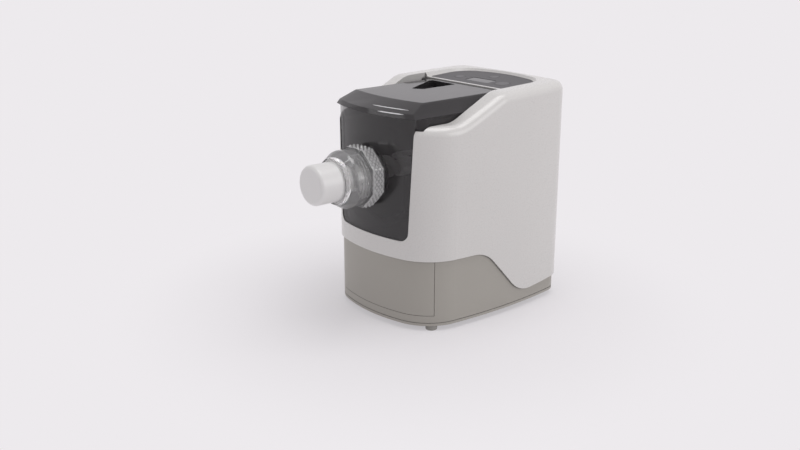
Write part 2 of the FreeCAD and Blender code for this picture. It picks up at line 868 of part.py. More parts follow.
def make_lid():
    outer = lid_block(0)
    top_rim = [edge for edge in outer.Edges
               if edge.BoundBox.ZMin > lid_top_z - 0.1 and edge.BoundBox.YMin < behind(lid_depth) - PAST]
    outer = outer.makeFillet(lid_edge_radius, top_rim)
    well = prism_z(inlet_corners(lid_wall), inlet_floor_z - lid_wall, lid_top_z - 0.5)
    lid = join([outer.cut(lid_block(lid_wall)), well])
    lid = lid.cut(prism_z(inlet_corners(0), inlet_floor_z, FAR))
    slot_rear = behind(inlet_rear - slot_rear_gap)
    slot = [(slot_left, slot_rear - slot_length, slot_corner), (slot_right, slot_rear - slot_length, slot_corner),
            (slot_right, slot_rear, slot_corner), (slot_left, slot_rear, slot_corner)]
    lid = lid.cut(prism_z(slot, inlet_floor_z - 2 * PAST, FAR))
    outer_end = lid_half_width - knuckle_end_gap
    for side in (-1, 1):
        ends = sorted((side * (outer_end - knuckle_length), side * outer_end))
        hole = sorted((side * (lid_half_width - hinge_pin_reach), side * (lid_half_width + 1)))
        lid = lid.fuse(rod_x(hinge_radius, ends[0], ends[1], behind(hinge_back), hinge_z))
        lid = lid.cut(rod_x(hinge_pin_radius, hole[0], hole[1], behind(hinge_back), hinge_z))
    return lid.removeSplitter()


def make_hinge_pins():
    wall_x = bay_half_width + shell_wall
    pin = rod_x(hinge_pin_radius - shaft_clearance, lid_half_width - hinge_pin_reach + seat_gap, wall_x,
                behind(hinge_back), hinge_z)
    head = rod_x(hinge_pin_head, wall_x, wall_x + hinge_head_thick, behind(hinge_back), hinge_z)
    pin = pin.fuse(head).removeSplitter()
    return Part.makeCompound([pin, mirror_x(pin)])


# Threads: a ridge swept along a helix about the nozzle axis, starting at start_y and running to -Y
def helical_ridge(inner, outer, root_width, crest_width, pitch, start_y, length):
    radius = (inner + outer) / 2
    helix = Part.makeHelix(pitch, length, radius)
    section = [Vector(inner, 0, -root_width / 2), Vector(outer, 0, -crest_width / 2),
               Vector(outer, 0, crest_width / 2), Vector(inner, 0, root_width / 2)]
    section.append(section[0])
    ridge = Part.Wire(helix.Edges).makePipeShell([Part.makePolygon(section)], True, True)
    ridge.rotate(Vector(0, 0, 0), Vector(1, 0, 0), 90)
    ridge.translate(Vector(0, start_y, axis_z))
    return ridge


nut_bore = barrel_radius + thread_height + thread_clearance
male_thread_start = front_y - thread_start
female_thread_start = male_thread_start + 0.5 * thread_pitch
nut_rear_y = front_y - nut_gap
nut_front_y = nut_rear_y - nut_length
nut_seat_y = nut_front_y + nut_lip
flange_front_y = nut_seat_y + seat_gap
flange_rear_y = flange_front_y + die_flange
barrel_front_y = flange_rear_y + gasket_thick + barrel_end_gap
nose_y = front_y - nozzle_reach


def make_barrel():
    flange_radius = barrel_radius + barrel_flange
    bow = front_bow_radius - math.sqrt(front_bow_radius ** 2 - flange_radius ** 2)
    seat = behind(panel_recess + front_panel_wall + bow + barrel_end_gap)
    rear = seat + barrel_flange_thick
    tube = rod_y(barrel_radius, barrel_front_y, rear, 0, axis_z)
    flange = rod_y(flange_radius, seat, rear, 0, axis_z)
    ridge = helical_ridge(barrel_radius - thread_embed, barrel_radius + thread_height, thread_root, thread_crest,
                          thread_pitch, male_thread_start, barrel_turns * thread_pitch)
    return join([tube, flange, ridge]).cut(rod_y(barrel_bore, barrel_front_y - PAST, rear + PAST, 0, axis_z))


def make_ring_nut():
    dome_y = nut_front_y + nut_dome_length
    body = rod_y(nut_radius, dome_y, nut_rear_y, 0, axis_z)
    dome = Part.makeCone(nut_front_radius, nut_radius, nut_dome_length, Vector(0, nut_front_y, axis_z), Vector(0, 1, 0))
    body = join([body, dome])
    rim = [edge for edge in body.Edges if abs(edge.BoundBox.YMin - dome_y) < 0.1 and edge.BoundBox.YLength < 0.1]
    body = body.makeFillet(nut_shoulder_radius, rim)
    half_turn = math.pi / nut_grip_sides
    corner = nut_flat_radius / math.cos(half_turn)
    grip_points = []
    for index in range(nut_grip_sides):
        angle = half_turn * (2 * index + 1)
        grip_points.append((corner * math.cos(angle), axis_z + corner * math.sin(angle), nut_grip_corner))
    nut = join([body, prism_y(grip_points, nut_rear_y - nut_grip_length, nut_rear_y)])
    nut = nut.cut(rod_y(nut_bore, nut_seat_y, nut_rear_y + PAST, 0, axis_z))
    nut = nut.cut(rod_y(die_radius + die_gap, nut_front_y - PAST, nut_rear_y, 0, axis_z))
    ridge = helical_ridge(nut_bore + thread_embed, barrel_radius + thread_clearance, thread_root, thread_crest,
                          thread_pitch, female_thread_start, nut_turns * thread_pitch)
    return join([nut, ridge])


def make_die():
    nose = rod_y(die_radius, nose_y, flange_front_y + 1, 0, axis_z)
    nose = nose.makeFillet(nose_edge, [edge for edge in nose.Edges if edge.BoundBox.YMax < nose_y + 0.1])
    die = join([nose, rod_y(nut_bore - die_flange_gap, flange_front_y, flange_rear_y, 0, axis_z)])
    bore_y = nose_y + nose_wall
    bore = rod_y(die_radius - die_wall, bore_y, flange_rear_y + 1, 0, axis_z)
    die = die.cut(bore.makeFillet(nose_bore_edge, [edge for edge in bore.Edges if edge.BoundBox.YMax < bore_y + 0.1]))
    outlets = []
    for row in range(outlet_rows):
        y = nose_y + outlet_start + row * outlet_row_pitch
        for column in range(outlet_columns):
            x = (column - (outlet_columns - 1) / 2) * outlet_column_pitch
            outlets.append(rod_z(outlet_radius, axis_z - die_radius - 1, axis_z - outlet_top, x, y))
    return die.cut(Part.makeCompound(outlets))


def make_gasket():
    return ring_y(nut_bore - die_flange_gap, barrel_bore + seat_gap, flange_rear_y, flange_rear_y + gasket_thick,
                  0, axis_z)


# Mixing shaft, paddle and extrusion screw
auger_front_y = barrel_front_y + auger_front_gap
auger_rear_y = auger_front_y + auger_turns * auger_pitch
coupling_y = behind(chamber_length) - coupling_inset


def make_mixing_shaft():
    tip_y = auger_front_y - mix_shaft_tip
    shaft = rod_y(mix_shaft_radius, tip_y, coupling_y, 0, axis_z)
    shaft = shaft.makeFillet(mix_shaft_tip, [edge for edge in shaft.Edges if edge.BoundBox.YMax < tip_y + 0.1])
    return shaft.cut(box(-socket_half, socket_half, coupling_y - socket_depth, coupling_y + PAST,
                         axis_z - socket_half, axis_z + socket_half))


# The flight lies round the sleeve in half turns, each a solid of its own
def make_auger():
    sleeve_radius = mix_shaft_radius + auger_sleeve_wall
    flight = helical_ridge(mix_shaft_radius, auger_radius, flight_root, flight_crest, auger_pitch, auger_rear_y,
                           auger_turns * auger_pitch)
    flight = flight.common(ring_y(auger_radius + 1, sleeve_radius, auger_front_y, auger_rear_y, 0, axis_z))
    pieces = [ring_y(sleeve_radius, mix_shaft_radius, auger_front_y, auger_rear_y, 0, axis_z)]
    for low, high in ((-FAR, 0), (0, FAR)):
        pieces += flight.common(box(low, high, auger_front_y - PAST, auger_rear_y + PAST, 0, FAR)).Solids
    return Part.makeCompound(pieces)


paddle_rear = chamber_length - paddle_rear_gap


def paddle_loop(start, end, side):
    pieces = []
    for place in (start, end):
        ends = sorted((0, side * paddle_reach))
        pieces.append(rod_x(paddle_bar_radius, ends[0], ends[1], behind(place), axis_z))
        pieces.append(Part.makeSphere(paddle_bar_radius, Vector(side * paddle_reach, behind(place), axis_z)))
    pieces.append(rod_y(paddle_bar_radius, behind(start), behind(end), side * paddle_reach, axis_z))
    return pieces


def make_paddle():
    pieces = paddle_loop(paddle_front, paddle_middle, 1) + paddle_loop(paddle_middle, paddle_rear, -1)
    hub_front = behind(paddle_front - paddle_overhang)
    hub_rear = behind(paddle_rear + paddle_overhang)
    pieces.append(rod_y(mix_shaft_radius + paddle_hub_wall, hub_front, hub_rear, 0, axis_z))
    return join(pieces).cut(rod_y(mix_shaft_radius, hub_front - PAST, hub_rear + PAST, 0, axis_z))


def make_shaft_seal():
    rear = behind(chamber_length)
    return ring_y(seal_radius, drive_shaft_radius + shaft_clearance, rear - seal_length, rear, 0, axis_z)


# Gears with involute flanks
def gear_points(teeth, module, first_angle):
    pitch_radius = teeth * module / 2
    pressure = math.radians(20)
    base_radius = pitch_radius * math.cos(pressure)
    tip_radius = pitch_radius + 0.95 * module
    root_radius = pitch_radius - 1.3 * module
    half_pitch = (math.pi * module / 2 - tooth_backlash * module) / (2 * pitch_radius)

    def half_tooth(radius):
        swing = 0.0
        if radius > base_radius:
            swing = math.tan(math.acos(base_radius / radius)) - math.acos(base_radius / radius)
        return half_pitch + math.tan(pressure) - pressure - swing

    lowest = max(root_radius, base_radius)
    flank = [root_radius] if root_radius < lowest else []
    flank += [lowest, (lowest + tip_radius) / 2, tip_radius]
    points = []
    for index in range(teeth):
        centre = first_angle + 2 * math.pi * index / teeth
        for radius in flank:
            points.append((radius, centre - half_tooth(radius)))
        for radius in reversed(flank):
            points.append((radius, centre + half_tooth(radius)))
    return points


def gear(teeth, module, first_angle, z, y0, y1, bore):
    corners = []
    for radius, angle in gear_points(teeth, module, first_angle):
        corners.append((radius * math.cos(angle), z + radius * math.sin(angle), 0))
    return prism_y(corners, y0, y1).cut(rod_y(bore, y0 - 1, y1 + 1, 0, z))


output_plane = behind(gear_plane)
stage_one_plane = output_plane + output_gear_width + gear_step
gearbox_front_y = output_plane - gear_front_gap - gearbox_wall
gearbox_rear_y = stage_one_plane + idler_gear_width + gear_step
cover_rear_y = gearbox_rear_y + gearbox_wall
motor_front_y = cover_rear_y


def make_output_gear():
    wheel = gear(output_teeth, output_module, -math.pi / 2, axis_z, output_plane, output_plane + output_gear_width,
                 drive_shaft_radius)
    for index in range(gear_windows):
        angle = (2 * index + 1) * math.pi / gear_windows
        x = gear_window_place * math.cos(angle)
        z = axis_z + gear_window_place * math.sin(angle)
        wheel = wheel.cut(rod_y(gear_window_radius, output_plane - 1, output_plane + output_gear_width + 1, x, z))
    return wheel


def make_drive_shaft():
    key_half = socket_half - key_gap
    shaft = rod_y(drive_shaft_radius, coupling_y + 1, cover_rear_y - seat_gap, 0, axis_z)
    key = box(-key_half, key_half, coupling_y + 1 - key_length, coupling_y + 1, axis_z - key_half, axis_z + key_half)
    return shaft.fuse(key).removeSplitter()


def make_idler_gear():
    bore = idler_pin_radius + shaft_clearance
    pinion = gear(idler_pinion_teeth, output_module, math.pi / 2 + math.pi / idler_pinion_teeth, idler_z,
                  output_plane, stage_one_plane, bore)
    wheel = gear(idler_teeth, motor_module, -math.pi / 2, idler_z, stage_one_plane,
                 stage_one_plane + idler_gear_width, bore)
    return pinion.fuse(wheel).removeSplitter()


def make_motor_pinion():
    return gear(motor_pinion_teeth, motor_module, math.pi / 2 + math.pi / motor_pinion_teeth, motor_z,
                stage_one_plane, stage_one_plane + idler_gear_width, motor_shaft_radius)


# Gearbox case: a large circle round the output gear and a small one below, joined by tangents
def case_prism(shrink, y0, y1):
    top = gearbox_top_radius - shrink
    low = gearbox_low_radius - shrink
    lean = math.asin((top - low) / (axis_z - gearbox_low_z))
    high_x = top * math.cos(lean)
    high_z = axis_z - top * math.sin(lean)
    low_x = low * math.cos(lean)
    low_z = gearbox_low_z - low * math.sin(lean)
    points = [(high_x, high_z, 0), (low_x, low_z, 0), (-low_x, low_z, 0), (-high_x, high_z, 0)]
    return join([rod_y(top, y0, y1, 0, axis_z), rod_y(low, y0, y1, 0, gearbox_low_z), prism_y(points, y0, y1)])


def case_screw_pair(radius, degrees, z):
    angle = math.radians(degrees)
    reach = radius - case_screw_inset
    x = reach * math.cos(angle)
    return [(x, z + reach * math.sin(angle)), (-x, z + reach * math.sin(angle))]


case_screw_places = case_screw_pair(gearbox_top_radius, case_high_angle, axis_z)
case_screw_places += case_screw_pair(gearbox_low_radius, case_low_angle, gearbox_low_z)


def make_gearbox_front():
    case = case_prism(0, gearbox_front_y, gearbox_rear_y)
    case = case.cut(case_prism(gearbox_wall, gearbox_front_y + gearbox_wall, gearbox_rear_y + 1))
    zone = case_prism(0, gearbox_front_y, gearbox_rear_y)
    for x, z in case_screw_places:
        case = case.fuse(rod_y(case_boss_radius, gearbox_front_y, gearbox_rear_y, x, z).common(zone))
    case = case.cut(rod_y(bearing_radius, gearbox_front_y - 1, gearbox_front_y + gearbox_wall + 1, 0, axis_z))
    boss = rod_y(idler_boss_radius, gearbox_front_y, output_plane - gear_boss_gap, 0, idler_z)
    case = case.fuse(boss)
    case = case.cut(rod_y(idler_pin_radius, gearbox_front_y + gearbox_wall - pin_seat, gearbox_rear_y, 0, idler_z))
    for x, z in case_screw_places:
        case = case.cut(rod_y(case_screw_radius, gearbox_rear_y - case_screw_bite - 1, gearbox_rear_y + 1, x, z))
    return case.removeSplitter()


def make_gearbox_rear():
    plate = case_prism(0, gearbox_rear_y, cover_rear_y)
    plate = plate.cut(rod_y(bearing_radius, gearbox_rear_y - 1, cover_rear_y + 1, 0, axis_z))
    plate = plate.cut(rod_y(motor_bearing_radius, gearbox_rear_y - 1, cover_rear_y + 1, 0, motor_z))
    boss = rod_y(idler_boss_radius, stage_one_plane + idler_gear_width + gear_boss_gap, gearbox_rear_y + 1, 0, idler_z)
    plate = plate.fuse(boss).cut(rod_y(idler_pin_radius, gearbox_front_y, gearbox_rear_y + pin_seat, 0, idler_z))
    for x, z in case_screw_places:
        plate = plate.cut(rod_y(case_screw_radius + case_screw_gap, gearbox_rear_y - 1, cover_rear_y + 1, x, z))
    return plate.removeSplitter()


def make_gearbox_screws():
    screws = []
    for x, z in case_screw_places:
        shank = rod_y(case_screw_radius, gearbox_rear_y - case_screw_bite, cover_rear_y, x, z)
        head = rod_y(case_screw_head, cover_rear_y, cover_rear_y + case_screw_radius, x, z)
        screws.append(shank.fuse(head).removeSplitter())
    return Part.makeCompound(screws)


def make_idler_pin():
    return rod_y(idler_pin_radius, gearbox_front_y + gearbox_wall - pin_seat, gearbox_rear_y + pin_seat, 0, idler_z)


def make_shaft_bearings():
    bearings = []
    for start in (gearbox_front_y, gearbox_rear_y):
        bearings.append(ring_y(bearing_radius, drive_shaft_radius + shaft_clearance, start, start + gearbox_wall,
                               0, axis_z))
    return Part.makeCompound(bearings)


# Motor: steel can, end cap, rotor, fan and bearings
can_inner_radius = motor_radius - motor_wall
stator_bore = can_inner_radius - stator_thick
rotor_radius = stator_bore - rotor_gap
cap_front_y = motor_front_y + motor_length
cap_rear_y = cap_front_y + motor_cap_thick


def ring_places(count, radius, first):
    places = []
    for index in range(count):
        angle = (index + first) * 2 * math.pi / count
        places.append((radius * math.cos(angle), motor_z + radius * math.sin(angle)))
    return places


def make_motor_can():
    can = rod_y(motor_radius, motor_front_y, cap_front_y, 0, motor_z)
    can = can.cut(rod_y(can_inner_radius, motor_front_y + motor_wall, cap_front_y + 1, 0, motor_z))
    can = can.cut(rod_y(motor_bearing_radius, motor_front_y - 1, motor_front_y + motor_wall + 1, 0, motor_z))
    for x, z in ring_places(motor_vents, motor_vent_place, 0):
        can = can.cut(rod_y(motor_vent_radius, motor_front_y - 1, motor_front_y + motor_wall + 1, x, z))
    return can


def make_stator():
    start = motor_front_y + stator_start
    ring = ring_y(can_inner_radius, stator_bore, start, start + stator_length, 0, motor_z)
    for x, z in ring_places(stator_slots, (can_inner_radius + stator_bore) / 2, 0.5):
        ring = ring.cut(rod_y(stator_slot_radius, start - 1, start + stator_length + 1, x, z))
    return ring


def make_motor_cap():
    cap = rod_y(motor_radius, cap_front_y, cap_rear_y, 0, motor_z)
    cap = cap.cut(rod_y(motor_bearing_radius, cap_front_y - 1, cap_rear_y + 1, 0, motor_z))
    for x, z in ring_places(motor_vents, motor_vent_place, 0):
        cap = cap.cut(rod_y(cap_vent_radius, cap_front_y - 1, cap_rear_y + 1, x, z))
    return cap


def make_motor_bearings():
    inner = motor_shaft_radius + shaft_clearance
    front = ring_y(motor_bearing_radius, inner, motor_front_y - gearbox_wall, motor_front_y + motor_wall, 0, motor_z)
    rear = ring_y(motor_bearing_radius, inner, cap_front_y, cap_rear_y, 0, motor_z)
    return Part.makeCompound([front, rear])


def make_motor_shaft():
    return rod_y(motor_shaft_radius, stage_one_plane, cap_rear_y + 1, 0, motor_z)


def make_rotor():
    start = motor_front_y + rotor_start
    core = ring_y(rotor_radius, motor_shaft_radius, start, start + rotor_length, 0, motor_z)
    for x, z in ring_places(rotor_slots, rotor_radius - rotor_slot_inset, 0):
        core = core.cut(rod_y(rotor_slot_radius, start - 1, start + rotor_length + 1, x, z))
    return core


def make_fan():
    start = motor_front_y + fan_start
    end = start + fan_length
    pieces = [rod_y(fan_hub_radius, start, end, 0, motor_z)]
    for index in range(fan_blades):
        blade = box(fan_hub_radius - fan_blade_thick, can_inner_radius - fan_gap, start, end,
                    motor_z - fan_blade_thick / 2, motor_z + fan_blade_thick / 2)
        blade.rotate(Vector(0, 0, motor_z), Vector(0, 1, 0), index * 360.0 / fan_blades)
        pieces.append(blade)
    return join(pieces).cut(rod_y(motor_shaft_radius, start - 1, end + 1, 0, motor_z))


def make_drive_bracket():
    start = gearbox_front_y + bracket_setback
    saddle_rear = gearbox_rear_y - bracket_setback
    foot = box(-bracket_half_width, bracket_half_width, start, cap_front_y, floor_z, floor_z + bracket_thick)
    front_saddle = box(-saddle_half_width, saddle_half_width, start, saddle_rear, floor_z, gearbox_low_z - saddle_drop)
    inner = saddle_half_width - saddle_side
    front_saddle = front_saddle.cut(box(-inner, inner, start + saddle_wall, saddle_rear - saddle_wall, floor_z - 1,
                                        gearbox_low_z))
    rear_end = cap_front_y - rear_saddle_gap
    rear_start = rear_end - rear_saddle_width
    rear_saddle = box(-saddle_half_width, saddle_half_width, rear_start, rear_end, floor_z, motor_z - rear_saddle_drop)
    window_low = floor_z + rear_window_low
    rear_saddle = rear_saddle.cut(box(-rear_window_half, rear_window_half, rear_start - 1, rear_end + 1, window_low,
                                      window_low + rear_window_height))
    bracket = join([foot, front_saddle, rear_saddle])
    bracket = bracket.cut(rod_y(motor_radius + bracket_gap, motor_front_y - 1, cap_front_y + 1, 0, motor_z))
    return bracket.cut(case_prism(-bracket_gap, start - 1, cover_rear_y + seat_gap))


# Control panel with its lens, buttons, pads and board
start_button_place = (button_side, behind(panel_front + button_row))
mode_button_place = (-button_side, behind(panel_front + button_row))
time_button_place = (0.0, behind(panel_front + time_button_row))
lens_y = behind(panel_front + button_row)
board_top_z = panel_under_z - board_drop
board_low_z = board_top_z - board_thick
cap_low_z = panel_under_z - button_drop
button_list = [(start_button_place, start_button_radius), (mode_button_place, small_button_radius),
               (time_button_place, small_button_radius)]
post_places = [(side * front_post_side, behind(panel_front + front_post_row)) for side in (-1, 1)]
post_places += [(side * rear_post_side, behind(panel_front + rear_post_row)) for side in (-1, 1)]


def lens_corners(gap):
    x = lens_half_width + gap
    y = lens_half_depth + gap
    return [(-x, lens_y - y, lens_corner), (x, lens_y - y, lens_corner), (x, lens_y + y, lens_corner),
            (-x, lens_y + y, lens_corner)]


def make_control_panel():
    panel = prism_z(panel_corners(0, 0), panel_under_z, panel_front_z)
    panel = panel.makeFillet(panel_edge, [edge for edge in panel.Edges if edge.BoundBox.ZMin > panel_front_z - 0.01])
    for place, radius in button_list:
        panel = panel.cut(rod_z(radius + button_gap, 0, FAR, place[0], place[1]))
    panel = panel.cut(prism_z(lens_corners(lens_gap), panel_under_z - 1, FAR))
    posts = [rod_z(post_radius, board_top_z, panel_under_z + 0.5, x, y) for x, y in post_places]
    return tilt(join([panel] + posts))


def make_display_lens():
    return tilt(prism_z(lens_corners(0), panel_under_z, panel_front_z - lens_sink))


def make_button(place, radius):
    cap_top_z = panel_front_z + button_rise
    cap = rod_z(radius, cap_low_z, cap_top_z, place[0], place[1])
    cap = cap.makeFillet(button_edge, [edge for edge in cap.Edges if edge.BoundBox.ZMin > cap_top_z - 0.1])
    flange = rod_z(radius + button_flange, cap_low_z, cap_low_z + button_flange_thick, place[0], place[1])
    return tilt(cap.fuse(flange).removeSplitter())


def make_button_pads():
    pads = []
    for place, radius in button_list:
        pads.append(rod_z(pad_share_radius, board_top_z, cap_low_z - button_travel - pad_gap, place[0], place[1]))
    return tilt(Part.makeCompound(pads))


def make_control_board():
    front = behind(panel_front + board_front)
    board = box(-board_half_width, board_half_width, front, front + board_length, board_low_z, board_top_z)
    chip_y = behind(panel_front + chip_row)
    chip = box(-chip_half_width, chip_half_width, chip_y, chip_y + chip_length, board_low_z - chip_height, board_low_z)
    plug = box(plug_side, plug_side + plug_width, chip_y, chip_y + plug_length, board_low_z - plug_height, board_low_z)
    screen = box(-lens_half_width + screen_inset, lens_half_width - screen_inset, lens_y - lens_half_depth + screen_inset,
                 lens_y + lens_half_depth - screen_inset, board_top_z, panel_under_z - seat_gap)
    return tilt(join([board, chip, plug, screen]))


def make_board_screws():
    screws = [rod_z(board_screw_radius, board_low_z - board_screw_height, board_low_z, x, y) for x, y in post_places]
    return tilt(Part.makeCompound(screws))


def make_power_board():
    left = -half_width + power_board_side_gap
    right = -bracket_half_width - power_board_bracket_gap
    front = behind(frame_length + power_board_front_gap)
    rear = front + power_board_length
    low = floor_z + power_board_rise
    top = low + board_thick
    first = left + capacitor_inset
    parts = [box(left, right, front, rear, low, top)]
    for row in (1, 2.5):
        parts.append(rod_z(capacitor_radius, top, top + capacitor_height, first, front + row * capacitor_inset))
    block_right = right - board_post_inset
    block_front = front + 2 * board_post_inset
    block_rear = block_front + transformer_width
    parts.append(box(block_right - transformer_width, block_right, block_front, block_rear, top, top + transformer_height))
    relay_front = block_rear + 2 * board_post_inset
    parts.append(box(left + board_post_inset, left + board_post_inset + relay_width, relay_front,
                     relay_front + relay_width, top, top + relay_height))
    parts.append(box(block_right - heat_sink_width, block_right, relay_front, relay_front + board_post_inset, top,
                     top + heat_sink_height))
    for x in (left + board_post_inset, right - board_post_inset):
        for y in (front + board_post_inset, rear - board_post_inset):
            parts.append(rod_z(post_radius, floor_z, low, x, y))
    return join(parts)


def make_lid_switch():
    left = bay_half_width + shell_wall
    front = behind(switch_place)
    body = box(left, left + switch_thick, front, front + switch_length, shoulder_z, shoulder_z + switch_height)
    plunger = rod_y(switch_plunger_radius, front - switch_plunger_reach, front, left + switch_thick / 2,
                    shoulder_z + switch_height / 2)
    return body.fuse(plunger).removeSplitter()


def make_cord_gland():
    outer_y = back_y - base_inset - gland_sink
    inner_y = outer_y - gland_length
    tube = rod_y(gland_radius - gland_gap, inner_y, outer_y, gland_x, gland_z)
    collar = rod_y(gland_radius + gland_collar, inner_y, inner_y + gland_collar_length, gland_x, gland_z)
    return tube.fuse(collar).cut(rod_y(gland_bore, inner_y - PAST, outer_y + PAST, gland_x, gland_z)).removeSplitter()


save("body_shell", make_body_shell())
save("base_shell", make_base_shell())
save("bottom_plate", make_bottom_plate())
save("rubber_feet", make_feet())
save("housing_screws", make_housing_screws())
save("drawer_frame", make_drawer_frame())
save("drawer_runners", make_drawer_runners())
save("drawer_front", make_drawer_front())
save("drawer_box", make_drawer_box())
save("chamber_cradle", make_chamber_cradle())
save("mixing_chamber", make_mixing_chamber())
save("front_panel", make_front_panel())
save("lid", make_lid())
save("lid_hinge_pins", make_hinge_pins())
save("extrusion_barrel", make_barrel())
save("ring_nut", make_ring_nut())
save("extrusion_die", make_die())
save("die_gasket", make_gasket())
save("mixing_shaft", make_mixing_shaft())
save("auger_screw", make_auger())
save("mixing_paddle", make_paddle())
save("shaft_seal", make_shaft_seal())
save("drive_shaft", make_drive_shaft())
save("output_gear", make_output_gear())
save("idler_gear", make_idler_gear())
save("idler_pin", make_idler_pin())
save("motor_pinion", make_motor_pinion())
save("motor_shaft", make_motor_shaft())
save("motor_rotor", make_rotor())
save("motor_fan", make_fan())
save("motor_stator", make_stator())
save("motor_can", make_motor_can())
save("motor_cap", make_motor_cap())
save("motor_bearings", make_motor_bearings())
save("shaft_bearings", make_shaft_bearings())
save("gearbox_case", make_gearbox_front())
save("gearbox_cover", make_gearbox_rear())
save("gearbox_screws", make_gearbox_screws())
save("drive_bracket", make_drive_bracket())
save("control_panel", make_control_panel())
save("display_lens", make_display_lens())
save("start_button", make_button(start_button_place, start_button_radius))
save("mode_button", make_button(mode_button_place, small_button_radius))
save("time_button", make_button(time_button_place, small_button_radius))
save("button_pads", make_button_pads())
save("control_board", make_control_board())
save("board_screws", make_board_screws())
save("power_board", make_power_board())
save("lid_switch", make_lid_switch())
save("cord_gland", make_cord_gland())
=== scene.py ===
import json
import math
import bpy
import bmesh
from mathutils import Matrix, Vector
from mathutils.bvhtree import BVHTree


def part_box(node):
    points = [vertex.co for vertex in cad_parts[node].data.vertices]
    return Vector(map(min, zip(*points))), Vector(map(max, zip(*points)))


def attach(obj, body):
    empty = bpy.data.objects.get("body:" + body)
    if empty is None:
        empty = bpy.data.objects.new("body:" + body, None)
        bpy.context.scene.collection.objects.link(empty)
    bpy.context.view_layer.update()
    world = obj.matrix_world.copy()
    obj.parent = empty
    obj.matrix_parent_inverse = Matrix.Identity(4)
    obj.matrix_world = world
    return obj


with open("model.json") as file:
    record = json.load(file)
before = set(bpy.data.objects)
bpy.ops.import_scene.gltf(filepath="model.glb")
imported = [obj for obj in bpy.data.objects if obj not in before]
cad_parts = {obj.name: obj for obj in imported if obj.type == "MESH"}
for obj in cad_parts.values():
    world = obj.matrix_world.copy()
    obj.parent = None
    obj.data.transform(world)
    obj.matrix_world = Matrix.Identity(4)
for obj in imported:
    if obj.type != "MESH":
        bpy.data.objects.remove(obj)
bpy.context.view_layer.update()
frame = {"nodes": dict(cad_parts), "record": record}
nodes = frame["nodes"]
scene = bpy.context.scene

MM = 0.001

# Camera: fitted to the object's edges in the photograph
CAMERA_AZIMUTH = math.radians(49.31)
CAMERA_ELEVATION = math.radians(17.45)
CAMERA_PLACE = Vector((938.3, -841.5, 504.4)) * MM
FOCAL_PIXELS = 990.0
IMAGE_WIDTH = 800.0
SENSOR = 36.0
CLIP_START = 0.01


def make_camera():
    data = bpy.data.cameras.new("camera")
    data.sensor_width = SENSOR
    data.lens = FOCAL_PIXELS * SENSOR / IMAGE_WIDTH
    data.clip_start = CLIP_START
    camera = bpy.data.objects.new("camera", data)
    scene.collection.objects.link(camera)
    flat = math.cos(CAMERA_ELEVATION)
    look = Vector((-math.sin(CAMERA_AZIMUTH) * flat, math.cos(CAMERA_AZIMUTH) * flat,
                   -math.sin(CAMERA_ELEVATION)))
    camera.location = CAMERA_PLACE
    camera.rotation_euler = look.to_track_quat("-Z", "Y").to_euler()
    scene.camera = camera


make_camera()
scene.view_settings.view_transform = "Standard"


# Materials: a broad tint and a fine grain, both noise, on one shader
TINT_LOW = 0.3
TINT_HIGH = 0.7
TINT_DETAIL = 4.0
GRAIN_SCALE = 900.0
GRAIN_DETAIL = 3.0
GRAIN_DEPTH = 0.2 * MM
LEAST_ROUGHNESS = 0.02
# Painted shade in closed-in places: occlusion samples, and the occlusion range that darkens the colour
SHADE_SAMPLES = 8
SHADE_DEEP = 0.35
SHADE_OPEN = 0.85


def new_material(name):
    material = bpy.data.materials.new(name)
    material.use_nodes = True
    tree = material.node_tree
    return material, tree, tree.nodes["Principled BSDF"]


# Paints shade into the colour: darkens it to the share `floor` where the surface within `reach` metres is
# closed in, as shade falls in seams, creases and grooves
def paint_crevice_shade(tree, colour, reach, floor):
    crevice_shade = tree.nodes.new("ShaderNodeAmbientOcclusion")
    crevice_shade.samples = SHADE_SAMPLES
    crevice_shade.inputs["Distance"].default_value = reach
    depth = tree.nodes.new("ShaderNodeMapRange")
    depth.inputs["From Min"].default_value = SHADE_DEEP
    depth.inputs["From Max"].default_value = SHADE_OPEN
    depth.inputs["To Min"].default_value = floor
    tree.links.new(crevice_shade.outputs["AO"], depth.inputs["Value"])
    mix = tree.nodes.new("ShaderNodeMix")
    mix.data_type = "RGBA"
    mix.blend_type = "MULTIPLY"
    mix.inputs["Factor"].default_value = 1.0
    tree.links.new(colour, mix.inputs["A"])
    tree.links.new(depth.outputs["Result"], mix.inputs["B"])
    return mix.outputs["Result"]


